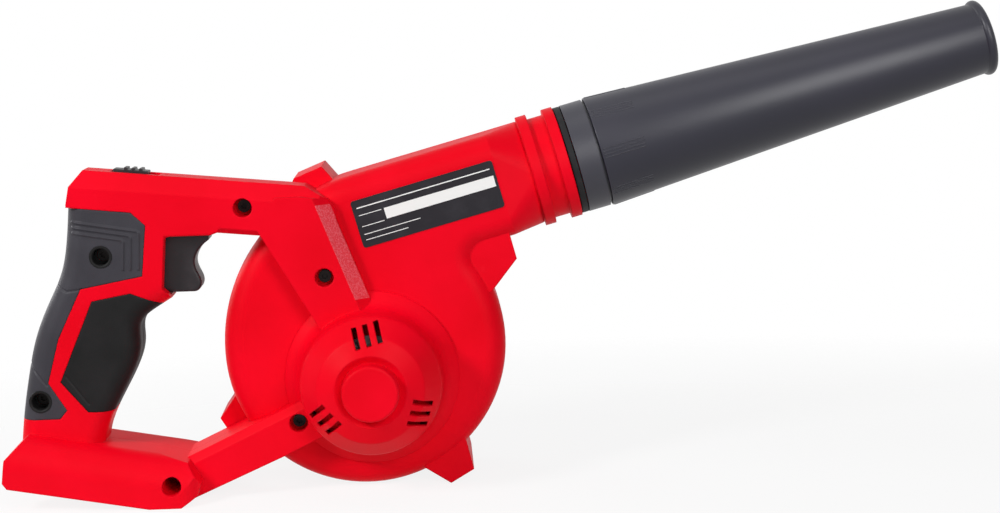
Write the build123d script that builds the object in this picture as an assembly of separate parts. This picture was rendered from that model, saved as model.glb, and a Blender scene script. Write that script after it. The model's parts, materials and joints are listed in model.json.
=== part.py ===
from build123d import *
import math
import os

# Sizes in millimetres. The fan axis is x = 0, z = 0 while modelling, and the handle's mid-plane is y = 0.
wall = 2.5
seam = 0.1
sliding_gap = 0.4
running_fit = 0.05

# Fan housing: a round scroll that opens into a straight duct.
scroll_x = -3.5
scroll_z = 16.2
scroll_radius = 79.5
scroll_near = -6.0
scroll_depth = 66.0
scroll_rounding = 12.0
scroll_far_rounding = 26.0
scroll_opening_angle = 185.0
tongue_radius = 6.0
duct_angle = 14.9
duct_offset = 65.7
duct_half_height = 29.4
duct_length = 99.0
duct_blend = 18.0

# Outlet tube and nozzle, measured along the duct from abreast of the scroll's centre.
tube_radius = 29.9
ring_radius = 32.2
ring_width = 6.0
ring_one = duct_length + duct_blend + 1.0
ring_gap = 9.5
ring_two = ring_one + ring_width + ring_gap
spigot_radius = 27.4
spigot_length = 24.0
lug_width = 4.0
lug_height = 1.5
lug_angle = 14.0
twist_angle = 30.0
seal_width = 3.8
seal_radius = 31.2
collar_width = 12.6
collar_radius = 31.4
sleeve_length = 15.0
sleeve_radius = 29.0
nozzle_length = 232.4
nozzle_base_radius = 31.8
nozzle_tip_radius = 20.4
nozzle_wall = 2.2
nozzle_lip_radius = 22.0
nozzle_lip_width = 5.6
nozzle_mouth_radius = 18.0
nozzle_mouth_depth = 14.0

# Handle, an eight-sided bar that slopes down to the front.
handle_rear_x = -154.8
handle_rear_z = 121.6
handle_slope = 5.83
handle_height = 28.6
handle_half_width = 18.0
handle_top_half_width = 9.0
handle_upper_facet = 9.0
handle_low_half_width = 15.0
handle_lower_facet = 3.0

# Grip, seen from the side as a rear curve and a front curve.
grip_half_width = handle_half_width
grip_rounding = 10.0
grip_top = handle_rear_z - 17.6
grip_front_x = -113.4
pad_thickness = 1.6

# Foot for the battery.
foot_half_width = 36.0
foot_slope = 10.43
foot_rear_x = -204.5
foot_front_x = -98.0
foot_rest_start_x = -123.9
foot_height = 28.0
foot_crown = 18.0
foot_front_rounding = 12.0
foot_rear_rounding = 4.0
slot_half_width = 23.0
slot_depth = 13.0
slot_end_x = -122.0
rail_groove_depth = 3.0
rail_groove_height = 4.0
rail_lip = 4.0
terminal_start = 30.0
terminal_length = 22.0

# Struts from the handle and the foot to the motor dome.
strut_half_width = handle_half_width
strut_chamfer = 7.0
strut_top = (-21.3, 101.9)
strut_low = (-0.6, 47.8)

# Motor dome and vents.
dome_radius = 39.0
dome_rim_y = -31.5
dome_ridge_radius = 29.5
dome_ridge_y = -44.0
dome_groove_radius = 19.8
hub_radius = 15.3
hub_y = -55.0
dome_flare_radius = 49.0
dome_flare_y = -14.0
vent_width = 2.8
vent_length = 11.0
vent_pitch = 6.2
vent_radius = 29.8
vent_turn = 12.0
vent_first_angle = 92.0

# Motor and fan.
motor_radius = 19.0
motor_front_y = -8.2
motor_length = 30.0
shaft_radius = 2.5
bearing_radius = 6.5
bearing_width = 4.5
armature_radius = 14.4
commutator_radius = 6.0
fan_radius = 52.0
fan_near_y = 4.5
fan_depth = 36.0
fan_blade_count = 11
fan_blade_thickness = 2.0
fan_hub_radius = 8.0
eye_radius = 37.0
grille_radius = 45.0
grille_thickness = 3.0

# Trigger and speed slider.
trigger_half_width = 8.8
trigger_travel = 7.0
trigger_rear_x = -118.0
trigger_low_z = 52.0
switch_front_x = -131.0
switch_length = 26.0
switch_low_z = 52.5
switch_height = 14.0
switch_side = 8.0
plunger_z = 59.5
plunger_radius = 2.2
slider_start = 16.0
slider_length = 19.3
slider_travel = 5.5
slider_half_width = 5.0
slider_rise = 1.6

# Screws.
well_radius = 5.2
screw_head_radius = 3.5
screw_head_height = 2.6
screw_radius = 1.7
column_radius = 6.8
ledge_y = -5.0
strut_ledge = -8.7
wire_radius = 1.1
lead_depth = 16.8

scroll_far = scroll_near + scroll_depth
scroll_mid = scroll_near + scroll_depth / 2
duct_x = math.cos(math.radians(duct_angle))
duct_z = math.sin(math.radians(duct_angle))


def slab(points, near, far):
    loop = Polyline(*[(x, near, z) for x, z in points], close=True)
    return extrude(make_face(loop), amount=far - near, dir=(0, 1, 0))


def rod(x, z, radius, near, far):
    bar = Cylinder(radius, far - near, align=(Align.CENTER, Align.CENTER, Align.MIN))
    return Pos(x, near, z) * Rot(-90, 0, 0) * bar


def block(x0, x1, y0, y1, z0, z1):
    box = Box(x1 - x0, y1 - y0, z1 - z0, align=(Align.MIN, Align.MIN, Align.MIN))
    return Pos(x0, y0, z0) * box


def turned(profile):
    # Radius and y pairs, turned about the fan axis.
    loop = Polyline(*[(r, y, 0) for r, y in profile], close=True)
    return revolve(make_face(loop), Axis.Y, 360)


def near_edges(solid, y):
    return [e for e in solid.edges() if abs(e.center().Y - y) < 0.01 and e.bounding_box().size.Y < 0.01]


def duct_point(along, up):
    x = scroll_x + along * duct_x - up * duct_z
    z = scroll_z + along * duct_z + up * duct_x
    return x, z


tube_plane = Plane(
    origin=(duct_point(0, duct_offset)[0], scroll_mid, duct_point(0, duct_offset)[1]),
    x_dir=(0, 1, 0),
    z_dir=(duct_x, 0, duct_z),
)
tube_place = Location(tube_plane)


def tube_turned(profile):
    # Radius and length pairs, turned about the tube's axis.
    loop = Polyline(*[(r, 0, s) for r, s in profile], close=True)
    return tube_place * revolve(make_face(loop), Axis.Z, 360)


def tube_ring(inner, outer, start, end):
    return tube_turned([(inner, start), (outer, start), (outer, end), (inner, end)])


def tube_wedge(inner, outer, start, end, first, sweep):
    face = make_face(Polyline((inner, 0, start), (outer, 0, start), (outer, 0, end), (inner, 0, end), close=True))
    return tube_place * Rot(0, 0, first) * revolve(face, Axis.Z, sweep)


def scroll_solid(inset, near, far, end):
    # Scroll and duct outline moved inward by the inset, as one smooth run of arcs and lines.
    top = duct_offset + duct_half_height
    low = duct_offset - duct_half_height
    start = math.radians(scroll_opening_angle - duct_angle)
    start_u, start_v = math.cos(start), math.sin(start)
    wide = (top - scroll_radius * start_v) / (1 - start_v)
    wide_u = (scroll_radius - wide) * start_u
    wide_v = (scroll_radius - wide) * start_v
    reach = scroll_radius + tongue_radius
    tongue_v = low - tongue_radius
    tongue_u = math.sqrt(reach ** 2 - tongue_v ** 2)
    tongue = math.atan2(tongue_v, tongue_u)
    round_mid = (tongue + start - 2 * math.pi) / 2
    wide_mid = (start + math.pi / 2) / 2
    tongue_mid = (tongue + math.pi + math.pi / 2) / 2
    small = scroll_radius - inset
    large = wide - inset
    nip = tongue_radius + inset

    def at(u, v):
        x, z = duct_point(u, v)
        return x, near, z

    low_end = at(end, low + inset)
    low_start = at(tongue_u, low + inset)
    nip_mid = at(tongue_u + nip * math.cos(tongue_mid), tongue_v + nip * math.sin(tongue_mid))
    round_start = at(small * math.cos(tongue), small * math.sin(tongue))
    round_middle = at(small * math.cos(round_mid), small * math.sin(round_mid))
    round_end = at(small * start_u, small * start_v)
    wide_middle = at(wide_u + large * math.cos(wide_mid), wide_v + large * math.sin(wide_mid))
    top_start = at(wide_u, top - inset)
    top_end = at(end, top - inset)
    edges = [
        Line(low_end, low_start),
        ThreePointArc(low_start, nip_mid, round_start),
        ThreePointArc(round_start, round_middle, round_end),
        ThreePointArc(round_end, wide_middle, top_start),
        Line(top_start, top_end),
        Line(top_end, low_end),
    ]
    solid = extrude(make_face(edges), amount=far - near, dir=(0, 1, 0))
    close_x, close_z = duct_point(end, duct_offset)
    for y, rounding in ((near, scroll_rounding - inset), (far, scroll_far_rounding - inset)):
        picked = [
            e for e in near_edges(solid, y)
            if math.hypot(e.center().X - close_x, e.center().Z - close_z) > 5
        ]
        solid = fillet(picked, rounding)
    return solid


def duct_section(along, half_width, half_height, near_round, far_round):
    # Four sides with round corners, square to the tube's axis.
    w, h, n, f = half_width, half_height, near_round, far_round
    bow = math.sqrt(0.5)
    edges = [
        Line((-w + n, -h), (w - f, -h)),
        ThreePointArc((w - f, -h), (w - f + f * bow, -h + f - f * bow), (w, -h + f)),
        Line((w, -h + f), (w, h - f)),
        ThreePointArc((w, h - f), (w - f + f * bow, h - f + f * bow), (w - f, h)),
        Line((w - f, h), (-w + n, h)),
        ThreePointArc((-w + n, h), (-w + n - n * bow, h - n + n * bow), (-w, h - n)),
        Line((-w, h - n), (-w, -h + n)),
        ThreePointArc((-w, -h + n), (-w + n - n * bow, -h + n - n * bow), (-w + n, -h)),
    ]
    return tube_place * Pos(0, 0, along) * make_face(edges)


def duct_to_tube(inset, start, end, radius):
    # The duct's section changes into the round tube.
    box = duct_section(
        start, scroll_depth / 2 - inset, duct_half_height - inset, scroll_rounding - inset, scroll_far_rounding - inset,
    )
    nearly_round = radius - 1.5
    return loft([box, duct_section(end, radius, radius, nearly_round, nearly_round)])


# Fan housing, cut in two halves at its middle.
scroll_outer = scroll_solid(0, scroll_near, scroll_far, duct_length)

# Tabs: the low front one is a foot, the front one fills the corner under the duct.
floor_z = -64.1
tab_near = scroll_near + 4
tab_behind = handle_half_width + 1
tab_low_front = slab(
    [(51.9, -39.8), (55.8, -56.4), (42.5, floor_z), (28.0, -54.7), (10, -30), (35, -10)], tab_near, scroll_far,
)
tab_front = slab([(78, 84), (83.2, 64.0), (68.5, 45.4), (45, 40), (52, 74)], tab_near, scroll_far)
tab_top = slab(
    [(-48.0, 96), (-41.5, 110.8), (-25.4, 117.3), (-14.2, 103.8), (-15, 85), (-42, 80)], tab_behind, scroll_far,
)
tab_rear = slab(
    [(-78.5, -11.5), (-89.2, -26.4), (-81, -40), (-64, -43), (-50, -20), (-60, 0)], tab_behind, scroll_far,
)
tabs = [tab_low_front, tab_front, tab_top, tab_rear]
tab_screw_spots = [(45.5, -53.5), (74.5, 61.5), (-27.5, 107.5), (-80.0, -28.5)]
spigot_start = ring_two + ring_width
spigot_end = spigot_start + spigot_length
tube_outside = tube_turned([
    (0, ring_one - 2), (tube_radius, ring_one - 2),
    (tube_radius, ring_one), (ring_radius, ring_one),
    (ring_radius, ring_one + ring_width), (tube_radius - 0.6, ring_one + ring_width),
    (tube_radius - 0.6, ring_two), (ring_radius, ring_two),
    (ring_radius, spigot_start), (spigot_radius, spigot_start),
    (spigot_radius, spigot_end), (0, spigot_end),
])
bore_radius = spigot_radius - 2.2
seal_start = spigot_start + sliding_gap
collar_start = seal_start + seal_width + sliding_gap
collar_end = collar_start + collar_width
lug_start = collar_start + collar_width / 2 - lug_width / 2
lugs = [
    tube_wedge(bore_radius + 1, spigot_radius + lug_height, lug_start, lug_start + lug_width, a - lug_angle / 2, lug_angle)
    for a in (0, 180)
]
scroll_inner = scroll_solid(wall, scroll_near + wall, scroll_far - wall, duct_length - wall)
scroll_inner = scroll_inner + duct_to_tube(wall, duct_length - wall, ring_one, bore_radius)
tube_inside = tube_ring(0, bore_radius, ring_one, spigot_end + 1)
strut_screw_spots = [(-24.2, 58.9), (-41.6, -22.5)]
inner_bosses = [rod(x, z, 5.0, scroll_near + 0.5, scroll_near + wall + 5) for x, z in strut_screw_spots]
housing = scroll_outer + duct_to_tube(0, duct_length, ring_one - 1, tube_radius) + tabs + tube_outside
housing = housing - scroll_inner - tube_inside + lugs + inner_bosses
housing = housing - rod(0, 0, bearing_radius + 3, scroll_near - 1, scroll_near + wall + 1)
housing = housing - rod(0, 0, eye_radius, scroll_far - wall - 1, scroll_far + 1)
motor_screw_spots = [(13.0, 0.0), (-13.0, 0.0)]
for x, z in motor_screw_spots:
    housing = housing - rod(x, z, screw_radius + 0.2, scroll_near - 1, scroll_near + wall + 1)
for x, z in strut_screw_spots:
    housing = housing - rod(x, z, screw_radius + running_fit, scroll_near - 1, scroll_near + wall + 3.5)

# Screws in the tabs, put in from the far side.
tab_screws = []
for x, z in tab_screw_spots:
    head_y = scroll_far - 14
    housing = housing - rod(x, z, screw_head_radius + 0.6, head_y, scroll_far + 1)
    housing = housing - rod(x, z, screw_radius + running_fit, scroll_mid - 7, head_y + 1)
    head = rod(x, z, screw_head_radius, head_y, head_y + screw_head_height)
    tab_screws.append(head + rod(x, z, screw_radius, scroll_mid - 6, head_y + 0.5))

# Screws that hold the intake grille.
grille_screw_angles = [30.0, 150.0, 270.0]
grille_screw_ring = (eye_radius + grille_radius) / 2
grille_screws = []
grille_holes = []
for a in grille_screw_angles:
    x = grille_screw_ring * math.cos(math.radians(a))
    z = grille_screw_ring * math.sin(math.radians(a))
    top = scroll_far + grille_thickness
    housing = housing - rod(x, z, 1.2 + running_fit, scroll_far - wall - 1, scroll_far + 1)
    grille_holes.append(rod(x, z, 1.5, scroll_far - 1, top + 1))
    grille_screws.append(rod(x, z, 2.6, top, top + 1.4) + rod(x, z, 1.2, scroll_far - wall + 0.3, top + 0.5))

wide = 600
near_side = block(-wide, wide, -wide, scroll_mid - seam / 2, -wide, wide)
far_side = block(-wide, wide, scroll_mid + seam / 2, wide, -wide, wide)
fan_housing_right = housing & near_side
fan_housing_left = housing & far_side

# Intake grille: rings joined by spokes.
grille = rod(0, 0, grille_radius, scroll_far, scroll_far + grille_thickness)
grille = grille - rod(0, 0, eye_radius - 2, scroll_far - 1, scroll_far + grille_thickness + 1)
for radius in (11.0, 20.0, 29.0):
    ring = rod(0, 0, radius, scroll_far, scroll_far + grille_thickness)
    grille = grille + (ring - rod(0, 0, radius - 2.4, scroll_far - 1, scroll_far + grille_thickness + 1))
spoke = block(9, eye_radius, -1.2, 1.2, 0, grille_thickness)
for k in range(8):
    grille = grille + Pos(0, scroll_far, 0) * Rot(-90, 0, 0) * Rot(0, 0, k * 45 + 22.5) * spoke
intake_grille = grille - grille_holes

# Handle bar.
handle_c = math.cos(math.radians(handle_slope))
handle_s = math.sin(math.radians(handle_slope))


def handle_top(x):
    return handle_rear_z - (x - handle_rear_x) * handle_s / handle_c


def on_handle(along, down):
    # A point on the handle's mid-plane: distance from the rear top corner, and depth under the top.
    return handle_rear_x + along * handle_c - down * handle_s, handle_rear_z - along * handle_s - down * handle_c


def handle_bar(inset, start, end):
    w = handle_half_width - inset
    t = handle_top_half_width - inset * 0.4
    low = handle_low_half_width - inset * 0.4
    u = handle_upper_facet
    b = handle_height - inset
    points = [
        (-t, -inset), (t, -inset), (w, -u), (w, -handle_height + handle_lower_facet),
        (low, -b), (-low, -b), (-w, -handle_height + handle_lower_facet), (-w, -u),
    ]
    x, z = on_handle(start, 0)
    plane = Plane(origin=(x, 0, z), x_dir=(0, 1, 0), z_dir=(handle_c, 0, -handle_s))
    face = make_face(Polyline(*points, close=True))
    return Location(plane) * extrude(face, amount=end - start, dir=(0, 0, 1))


handle_front_x = strut_top[0] - 12.5
handle_outline = [
    (handle_rear_x, handle_rear_z + 2),
    (handle_rear_x, handle_rear_z), (handle_rear_x - 6.6, handle_rear_z - 8.2),
    (handle_rear_x - 8.6, handle_rear_z - 18), (handle_rear_x - 8.6, handle_rear_z - 40),
    (strut_low[0], handle_rear_z - 40), (strut_low[0], strut_low[1] + 24), strut_top,
    (handle_front_x, handle_top(handle_front_x)), (handle_front_x, handle_rear_z + 2),
]
handle_outer = handle_bar(0, -20, 140) & slab(handle_outline, -40, 40)

# Brow over the trigger, a little lower than the bar.
brow_low = handle_top(-98) - 31.5
brow_outline = [
    (grip_front_x - 8, brow_low + 12), (grip_front_x - 8, brow_low), (-85.6, brow_low), (-81.6, brow_low + 1.5),
    (-78, brow_low + 6), (-78, brow_low + 12),
]
trigger_brow = slab(brow_outline, -handle_half_width, handle_half_width)
brow_edges = [e for e in trigger_brow.edges() if e.bounding_box().size.Y < 0.01 and e.center().Z < brow_low + 5]
trigger_brow = fillet([e for e in brow_edges if e.bounding_box().size.X > 1], 1.2)
corner_x = grip_front_x + 1.4
trigger_corner = block(corner_x, corner_x + 4, 1 - handle_half_width, handle_half_width - 1, brow_low - 4, brow_low + 2)
trigger_corner = trigger_corner - rod(corner_x + 4, brow_low - 4, 3.9, -30, 30)
handle_inner = handle_bar(wall, -2, 117)


def grip_solid(inset, half_width, rounding):
    # Rear curve, front curve, trigger guard lip and the straight front beside the trigger.
    rear = [
        (handle_rear_x - 8.6, grip_top), (-165.4, 84), (-169.3, 65.5), (-177.8, 47.3), (-186.1, 27.0), (-190.1, 10.5),
        (-194.0, -10.1), (-196.9, -34),
    ]
    front = [(-150.8, -40), (-141.6, -8.5), (-131.6, 10.2), (-127.6, 25), (-127.0, 35.6), (-118.6, 43.7), (-109.4, 49.3)]
    rear = [(x + inset, 0, z) for x, z in rear]
    front = [(x - inset, 0, z + inset * 0.5) for x, z in front]
    lip_x, lip_z = front[-1][0], front[-1][2]
    rear_curve = Spline(*rear)
    front_curve = Spline(*front)
    side = grip_front_x - inset
    edges = [
        rear_curve,
        Line(rear[-1], front[0]),
        front_curve,
        Polyline((lip_x, 0, lip_z), (lip_x - 1, 0, lip_z + 3), (side, 0, lip_z + 6), (side + 2.4, 0, lip_z + 35), (side + 2.4, 0, grip_top), rear[0]),
    ]
    face = make_face(edges)
    solid = extrude(face, amount=half_width, dir=(0, 1, 0)) + extrude(face, amount=half_width, dir=(0, -1, 0))
    for y in (-half_width, half_width):
        picked = [e for e in near_edges(solid, y) if e.length > 90]
        solid = fillet(picked, rounding)
    return solid


grip_outer = grip_solid(0, grip_half_width, grip_rounding)
grip_core = grip_solid(pad_thickness, grip_half_width - pad_thickness, grip_rounding - pad_thickness)
grip_inner = grip_solid(wall + pad_thickness, grip_half_width - wall - pad_thickness, grip_rounding - wall - pad_thickness)

rear_pad_outline = [
    (-230, 102), (-162.4, 102), (-128.4, 98.3), (-120.7, 90.9), (-123.8, 62.8), (-157.9, 56.7),
    (-171.5, 29.2), (-178.4, 4.8), (-168.9, -10.8), (-173.1, -15.7), (-230, -16),
]
front_pad_outline = [
    (-152.3, 49.8), (-131.0, 53.6), (-113.0, 46.4), (-100, 38), (-100, -14.5), (-157.5, -12.3), (-171.8, 5.1),
]
skin = grip_outer - grip_core
pad_zone_rear = slab(rear_pad_outline, -60, 60)
pad_zone_front = slab(front_pad_outline, -60, 60)
rear_pads = skin & pad_zone_rear
front_pads = skin & pad_zone_front

# Foot.
foot_c = math.cos(math.radians(foot_slope))
foot_s = math.sin(math.radians(foot_slope))


def foot_point(along, up):
    # Distance back from the start of the resting facet, and height over the sloping underside.
    return foot_rest_start_x - along * foot_c + up * foot_s, floor_z + along * foot_s + up * foot_c


foot_length = (foot_rest_start_x - foot_rear_x) / foot_c
foot_outline = [
    foot_point(foot_length - 3.8, 0), (foot_rest_start_x, floor_z), (foot_front_x - 8.5, floor_z),
    (foot_front_x, floor_z + 5.5), (foot_front_x + 2, floor_z + 12), (foot_front_x - 5, floor_z + 23),
    foot_point(0, foot_height), foot_point(foot_length - 9, foot_height),
    foot_point(foot_length, foot_height - 12.5), foot_point(foot_length - 0.8, 2.8),
]
foot_plane = Plane(
    origin=(foot_rest_start_x, 0, floor_z), x_dir=(-foot_c, 0, foot_s), z_dir=(foot_s, 0, foot_c),
)
foot_place = Location(foot_plane)


def foot_section(inset):
    # Flat underside and a crowned top, run along the whole foot.
    w = foot_half_width - inset
    h = foot_height - inset
    r = foot_crown - inset
    bow = r * (1 - math.sqrt(0.5))
    edges = [
        Polyline((-w, h - r), (-w, -30), (w, -30), (w, h - r)),
        ThreePointArc((w, h - r), (w - bow, h - bow), (w - r, h)),
        Line((w - r, h), (-w + r, h)),
        ThreePointArc((-w + r, h), (-w + bow, h - bow), (-w, h - r)),
    ]
    ends = Plane(origin=foot_plane.from_local_coords((-60, 0, 0)), x_dir=(0, -1, 0), z_dir=foot_plane.x_dir)
    return Location(ends) * extrude(make_face(edges), amount=200, dir=(0, 0, 1))


def foot_plan():
    # Seen from above, with round corners.
    x0 = foot_rear_x - 2
    x1 = foot_front_x + 2.5
    body = block(x0, x1, -foot_half_width, foot_half_width, floor_z - 20, 40)
    uprights = body.edges().filter_by(Axis.Z)
    body = fillet([e for e in uprights if e.center().X > foot_rest_start_x], foot_front_rounding)
    uprights = body.edges().filter_by(Axis.Z)
    return fillet([e for e in uprights if e.center().X < x0 + 0.1], foot_rear_rounding)


foot_outer = slab(foot_outline, -foot_half_width, foot_half_width) & foot_section(0) & foot_plan()
slot_front = (foot_rest_start_x - slot_end_x) / foot_c
rail_top = rail_lip + rail_groove_height
groove_half_width = slot_half_width + rail_groove_depth
slot_cut = foot_place * block(-slot_front, foot_length + 20, -slot_half_width, slot_half_width, -20, slot_depth)
slot_grooves = foot_place * block(
    -slot_front, foot_length + 20, -groove_half_width, groove_half_width, rail_lip, rail_top,
)
wire_hole = foot_place * block(
    terminal_start + 6, terminal_start + 18, -8, 8, slot_depth - 0.5, slot_depth + wall + 0.5,
)
foot_inner = foot_section(wall) & foot_place * block(
    2, foot_length - 13, -foot_half_width, foot_half_width, slot_depth + wall, foot_height,
)

# Struts.
upper_strut_outline = [
    (-60, 86), (-43.8, 58.2), (-24, 24), (8.5, 24), strut_low, strut_top, (-36, handle_top(-36) - 5.5),
    (-50, handle_top(-50) - 7),
]
upper_strut = slab(upper_strut_outline, -strut_half_width, strut_half_width)
strut_run = Vector(strut_low[0] - strut_top[0], 0, strut_low[1] - strut_top[1]).normalized()
strut_out = Vector(-strut_run.Z, 0, strut_run.X)
slope_plane = Plane(
    origin=(strut_top[0], strut_chamfer - strut_half_width, strut_top[1]),
    x_dir=strut_run, z_dir=strut_out + Vector(0, -1, 0),
)
strut_slope = Location(slope_plane) * block(-60, 120, -60, 60, 0, 60)
lower_strut_outline = [
    (-102, -63.6), (-50.9, -41.4), (-14, -24), (-14, -2), (-40, -10.5), (-83.9, -31), (-112, -44),
]
lower_strut = slab(lower_strut_outline, -strut_half_width, strut_half_width)
lower_edge = [
    e for e in near_edges(lower_strut, -strut_half_width)
    if e.length > 40 and abs(e.center().Z + 20.7) < 2
]
lower_strut = chamfer(lower_edge, strut_chamfer * 0.6)
upper_inner_outline = [(-52, 92), (-54, 84), (-40, 60), (-22, 28), (1, 28), (-8.5, 49), (-28, 94)]
lower_inner_outline = [(-108, -56), (-52, -37.5), (-16, -21), (-16, -6), (-41, -14), (-84, -34.5), (-108, -45)]
strut_inner = slab(upper_inner_outline, -strut_half_width + wall + 1.5, strut_half_width - wall)
strut_inner = strut_inner + slab(lower_inner_outline, -strut_half_width + wall + 1, strut_half_width - wall)

# Motor dome.
dome_seat = scroll_near - seam
dome_outer = turned([
    (0, dome_seat), (dome_flare_radius, dome_seat), (dome_flare_radius, dome_seat - 1), (dome_radius + 1.5, dome_flare_y),
    (dome_radius, dome_rim_y), (dome_ridge_radius, dome_ridge_y),
    (dome_groove_radius, dome_ridge_y - 5), (hub_radius + 0.8, dome_ridge_y - 3), (hub_radius, hub_y), (0, hub_y),
])
for radius, y, rounding in (
    (dome_radius + 1.5, dome_flare_y, 12.0), (dome_radius, dome_rim_y, 5.0),
    (dome_ridge_radius, dome_ridge_y, 2.5), (hub_radius, hub_y, 1.6),
):
    picked = [
        e for e in dome_outer.edges().filter_by(GeomType.CIRCLE)
        if abs(e.radius - radius) < 0.01 and abs(e.arc_center.Y - y) < 0.01
    ]
    dome_outer = fillet(picked, rounding)
dome_inner = turned([
    (0, dome_seat + 1), (dome_radius - wall, dome_seat + 1), (dome_radius - wall, dome_rim_y + 1),
    (dome_ridge_radius - wall * 0.6, dome_ridge_y + wall), (hub_radius - wall, dome_ridge_y - 2),
    (hub_radius - wall, hub_y + wall), (0, hub_y + wall),
])

# Screw columns stay solid inside the shells.
grip_screw_spots = [(-146.0, 74.3), (-183.4, -5.5)]
shell_screw_spots = grip_screw_spots + [(-67.4, handle_top(-67.4) - 13.7), (-111.3, -52.0)]
columns = [rod(x, z, column_radius, -60, 60) for x, z in shell_screw_spots + strut_screw_spots]
switch_ribs = [
    block(x, x + 3, side * switch_side if side > 0 else -40, 40 if side > 0 else side * switch_side,
          switch_low_z - 2, switch_low_z + switch_height)
    for x in (switch_front_x - switch_length + 4, switch_front_x - 8) for side in (-1, 1)
]
hollow = handle_inner + grip_inner + foot_inner + strut_inner + dome_inner - columns - switch_ribs

scroll_room = scroll_solid(-seam, scroll_near - seam, scroll_far + seam, duct_length)
shell = handle_outer - pad_zone_rear + trigger_brow + trigger_corner + upper_strut - strut_slope + grip_outer + foot_outer + lower_strut
shell = shell - rear_pads - front_pads - scroll_room - tabs
trigger_room = block(
    trigger_rear_x - trigger_travel - 1.5, -86.5, -trigger_half_width - sliding_gap, trigger_half_width + sliding_gap,
    trigger_low_z - 1.0, 97,
)

# Slot for the speed slider in the top of the handle.
top_plane = Plane(
    origin=(handle_rear_x, 0, handle_rear_z), x_dir=(handle_c, 0, -handle_s), z_dir=(handle_s, 0, handle_c),
)
top_place = Location(top_plane)
slider_slot = top_place * block(
    slider_start - 1.5, slider_start + slider_length + slider_travel + 0.5,
    -slider_half_width - sliding_gap, slider_half_width + sliding_gap, -wall - 1, 5,
)

vents = []
for group in range(3):
    for k in (-1, 0, 1):
        slot = block(-vent_length / 2, vent_length / 2, -vent_width / 2, vent_width / 2, 0, 40)
        bar = Rot(0, 0, vent_turn) * Pos(0, k * vent_pitch, 0) * slot
        turn = Rot(0, 0, vent_first_angle + group * 120) * Pos(vent_radius, 0, 0) * bar
        vents.append(Pos(0, dome_rim_y + 4, 0) * Rot(90, 0, 0) * turn)

half_right = block(-wide, wide, -wide, -seam / 2, -wide, wide)
half_left = block(-wide, wide, seam / 2, wide, -wide, wide)
openings = [slot_cut, slot_grooves, trigger_room, slider_slot, wire_hole]
shell_right = (shell & half_right) + dome_outer - hollow - openings - vents
shell_left = (shell & half_left) - hollow - openings
for x, z in shell_screw_spots:
    shell_right = shell_right - rod(x, z, well_radius, -60, ledge_y) - rod(x, z, screw_radius + 0.3, -60, 1)
for x, z in strut_screw_spots:
    shell_right = shell_right - rod(x, z, well_radius, -60, strut_ledge) - rod(x, z, screw_radius + 0.3, -60, 1)
for x, z in shell_screw_spots:
    shell_left = shell_left - rod(x, z, screw_radius + running_fit, 0, 12)

pad_wells = [rod(x, z, well_radius + 0.3, -60, 0) for x, z in grip_screw_spots]
handle_screws = []
for x, z in shell_screw_spots:
    head = rod(x, z, screw_head_radius, ledge_y - screw_head_height, ledge_y)
    handle_screws.append(head + rod(x, z, screw_radius, ledge_y - 0.5, 11))
strut_screws = []
for x, z in strut_screw_spots:
    head = rod(x, z, screw_head_radius, strut_ledge - screw_head_height, strut_ledge)
    strut_screws.append(head + rod(x, z, screw_radius, strut_ledge - 0.5, scroll_near + wall + 3))

# Nozzle group.
nozzle_seal = tube_ring(spigot_radius + sliding_gap, seal_radius, seal_start, seal_start + seal_width)
seal_end = seal_start + seal_width
collar = tube_turned([
    (spigot_radius + sliding_gap, collar_start), (collar_radius, collar_start), (collar_radius, collar_end),
    (sleeve_radius, collar_end), (sleeve_radius, collar_end + sleeve_length),
    (spigot_radius + sliding_gap, collar_end + sleeve_length),
])
groove_radius = spigot_radius + lug_height + sliding_gap
lug_margin = 1.2
for a in (0, 180):
    first = a - lug_angle / 2 - lug_margin
    nozzle_seal = nozzle_seal - tube_wedge(
        spigot_radius, groove_radius, seal_start - 1, seal_end + 1, first, lug_angle + 2 * lug_margin,
    )
    run_in = tube_wedge(
        spigot_radius, groove_radius, collar_start - 1, lug_start + lug_width + sliding_gap, first, lug_angle + 2 * lug_margin,
    )
    lock = tube_wedge(
        spigot_radius, groove_radius, lug_start - sliding_gap, lug_start + lug_width + sliding_gap,
        first - twist_angle, lug_angle + 2 * lug_margin + twist_angle,
    )
    collar = collar - run_in - lock
cone_start = collar_end + 1.2
cone_end = cone_start + nozzle_length
taper = (nozzle_base_radius - nozzle_tip_radius) / (nozzle_length - nozzle_lip_width)
seat_end = collar_end + sleeve_length + 1
mouth_start = cone_end - nozzle_mouth_depth
bead_radius = nozzle_lip_width / 2
bead_middle = nozzle_lip_radius - bead_radius
bead_rise = nozzle_tip_radius - bead_middle
bead_start = cone_end - bead_radius - math.sqrt(bead_radius ** 2 - bead_rise ** 2)
nozzle_edges = [
    Polyline(
        (bead_middle, 0, cone_end), (nozzle_mouth_radius, 0, cone_end), (nozzle_mouth_radius, 0, mouth_start),
        (nozzle_base_radius - taper * (seat_end - cone_start) - nozzle_wall, 0, seat_end),
        (sleeve_radius + running_fit, 0, seat_end), (sleeve_radius + running_fit, 0, cone_start),
        (nozzle_base_radius, 0, cone_start), (nozzle_tip_radius, 0, bead_start),
    ),
    ThreePointArc(
        (nozzle_tip_radius, 0, bead_start), (nozzle_lip_radius, 0, cone_end - bead_radius), (bead_middle, 0, cone_end),
    ),
]
nozzle = tube_place * revolve(make_face(nozzle_edges), Axis.Z, 360)

# Bare label on the duct.
label_length = 82.0
label_height = 27.0
label_along = 57.0
label_up = duct_offset + 2.4
label_corners = [
    duct_point(label_along + i * label_length / 2, label_up + j * label_height / 2)
    for i, j in ((-1, -1), (1, -1), (1, 1), (-1, 1))
]
rating_label = slab(label_corners, scroll_near - 0.4, scroll_near)

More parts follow.
